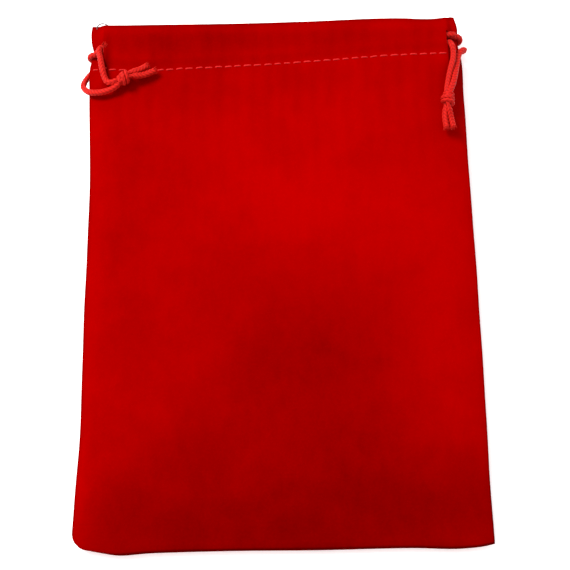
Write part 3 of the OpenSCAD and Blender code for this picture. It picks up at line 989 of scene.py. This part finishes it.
# A row of stitches: where across the bag its first one starts and its last one may. Then the least and
# most of a stitch's length, the space after it, its slant and how far it lies off the row.
STITCH_ROW = (-SLIT_X - 4.2, SLIT_X - 2)
STITCH_LENGTH = (2.0, 2.5)
STITCH_SPACE = (0.9, 1.2)
STITCH_DRIFT = (-0.03, 0.16)
STITCH_WANDER = (-0.08, 0.08)
STITCH_R = 0.27
STITCH_ARCH = 0.3
STITCH_SINK = 0.22
STITCH_SIDES = 8
PLY_POINTS = 7
OVERLOCK_R = 0.16
# A loop of overlock thread round both plies: how far past their raw edges, and how far up
OVERLOCK_LOOP = [(-1.6, 1.4), (-0.4, 1.43), (0.25, 1), (0.45, 0), (0.25, -1), (-0.4, -1.43), (-1.6, -1.4)]


def add_hem_stitches(name, face, thread):
    """A row of machine stitches, each of which dips into the cloth at both ends."""
    rng = np.random.default_rng(seed=3)
    rows = {"left": [], "right": []}
    t = np.linspace(-1, 1, 9)
    around = np.arange(STITCH_SIDES) / STITCH_SIDES * 2 * math.pi
    start, end = STITCH_ROW
    while start < end:
        long = rng.uniform(*STITCH_LENGTH)
        drift = rng.uniform(*STITCH_DRIFT)
        middle = start + long / 2
        x = middle + t * long / 2
        y = float(eased(middle, STITCH_LINE)) + rng.uniform(*STITCH_WANDER) + drift * t
        z = face_height(x, y, face) + face * (STITCH_ARCH * (1 - t ** 4) - STITCH_SINK)
        line = np.stack([x, y, z], axis=1)
        twist = 1 + 0.12 * np.cos(2 * around[None, :] - 3 * (t * long)[:, None])
        rows["left" if middle < 0 else "right"].append(tube_mesh(line, STITCH_R * twist, STITCH_SIDES))
        start += long + rng.uniform(*STITCH_SPACE)
    for label, side in SIDES.items():
        points, faces = joined(rows[label])
        piece = mesh_piece(f"{name}_{label}", points, faces, thread)
        moves_with_neck(piece)
        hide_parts(name)


def folded_strip(name, run, side, along_x, material):
    """The two plies of a seam allowance, one on the other inside the bag and joined at the seam line.
    run is the start and end of the seam. side is 1 or -1 for the right or left seam."""
    shares = np.concatenate([np.linspace(1, 0, PLY_POINTS), np.linspace(0, 1, PLY_POINTS)])
    face = np.concatenate([np.full(PLY_POINTS - 1, 1), [0.25, -0.25], np.full(PLY_POINTS - 1, -1)])
    share, along = np.meshgrid(shares, np.linspace(*run, 110))
    depth = SEAM_GAP + share * (ALLOWANCE_W - SEAM_GAP)
    if along_x:
        u, v = along, -HALF_H + depth
    else:
        u, v = side * (HALF_W - depth), along
    z = seam_height(u, v) + face * (CLOTH_T + 0.02) + 0.08 * np.sin(along / 3) * share
    points = np.stack([outline_x(u, v), v, z], axis=2)
    cells = [(row, column, None) for row in range(u.shape[0] - 1) for column in range(u.shape[1] - 1)]
    outside = -1 if along_x else -side
    return thick_sheet(name, points, outside, cells, material, np.full(u.shape, INNER_TONE))


def overlock_thread(name, run, side, along_x, thread):
    """Loops of thread round the raw edges of both plies."""
    loops = []
    for step in np.arange(run[0] + 1, run[1] - 1, OVERLOCK_PITCH):
        if along_x:
            x, y, inward = step, -HALF_H + ALLOWANCE_W, np.array([0, 1, 0])
        else:
            x, y, inward = side * (HALF_W - ALLOWANCE_W), step, np.array([-side, 0, 0])
        z = float(seam_height(x, y))
        line = smooth_route([out * inward + (x, y, z + up) for out, up in OVERLOCK_LOOP], step=0.3)
        loops.append(thread_mesh(line, OVERLOCK_R))
    points, faces = joined(loops)
    return mesh_piece(name, points, faces, thread)


def add_allowance(label, run, side, along_x, velvet, thread):
    """A seam allowance and its overlock thread. along_x is for the bottom seam, which only the bag's
    body moves."""
    strip = folded_strip(f"{label}_seam_allowance", run, side, along_x, velvet)
    loops = overlock_thread(f"{label}_overlock", run, side, along_x, thread)
    for piece, node, slot in ((strip, "seam_allowance", "velvet"), (loops, "overlock", "thread")):
        if along_x:
            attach(piece, "bag")
        else:
            moves_with_flank(piece)
        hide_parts(f"{label}_{node}")


def add_allowances(velvet, thread):
    for label, side in SIDES.items():
        add_allowance(label, (-HALF_H + CORNER_R, FAN_HIGH - 1), side, False, velvet, thread)
    half = HALF_W - CORNER_R
    add_allowance("bottom", (-half, half), 1, True, velvet, thread)


# The left end of the mouth moves with the right drawstring, so the two pieces on it ride on that

def add_slit_fuzz(cord):
    """Fibres that stand out of the upper end of the front left slit, where the cord has rubbed it."""
    rng = np.random.default_rng(seed=8)
    fibres = []
    for _ in range(FUZZ_HAIRS):
        x, y = rng.uniform(-SLIT_X - 0.4, -SLIT_X + 0.9), UPPER_Y - LEFT_DIP + rng.uniform(-0.6, 1.4)
        start = np.array([x, y, float(face_height(x, y, 1)) - 0.1])
        lean, rise = rng.uniform(-0.6, 0.6, 2), rng.uniform(0.3, 0.75)
        t = np.linspace(0, 1, 4)[:, None]
        line = start + t * np.array([lean[0], lean[1], rise]) + t * t * np.array([0, -0.35, -0.2])
        fibres.append(hair_mesh(line, root_radius=0.1, tip_radius=0.04))
    piece = fuzz_piece("slit_fuzz", fibres, cord)
    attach(piece, "right_drawstring")


def add_loose_thread(grey):
    """A short grey thread end that stands out of the fold at the left end of the mouth."""
    root = np.array([-61.6, 88.0, 8.6])
    bends = [(0, -0.6, 0), (0.4, 0.5, 0.5), (1.7, 1.1, 0.9), (3.1, 0.9, 0.9), (4.3, 0.2, 0.6)]
    line = smooth_route([root + bend for bend in bends], step=0.25)
    points, faces = thread_mesh(line, 0.2)
    piece = mesh_piece("loose_thread", points, faces, grey)
    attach(piece, "right_drawstring")


# ---------------------------------------------------------------- the scene

add_camera()
CORD = cord_material()
add_tie("left", CORD)
add_tie("right", CORD)
add_loop("left", UPPER_Y, 1, LEFT_DIP, 0, 0.6, CORD)
add_loop("right", LOWER_Y, -1, 0, LEFT_WRAP_DIP, 0, CORD)

VELVET = velvet_material()
THREAD = thread_material("thread", (0.4, 0.006, 0.006), (0.62, 0.016, 0.016))
add_panel("front_panel", 1, VELVET)
add_panel("back_panel", -1, VELVET)
add_hem("front_hem", 1, VELVET)
add_hem("back_hem", -1, VELVET)
add_hem_stitches("front_hem_stitches", 1, THREAD)
add_hem_stitches("back_hem_stitches", -1, THREAD)
add_allowances(VELVET, THREAD)
add_slit_fuzz(CORD)
add_loose_thread(thread_material("grey_thread", (0.05, 0.04, 0.04), (0.14, 0.11, 0.11)))
add_world()
add_key_light()
add_floor()
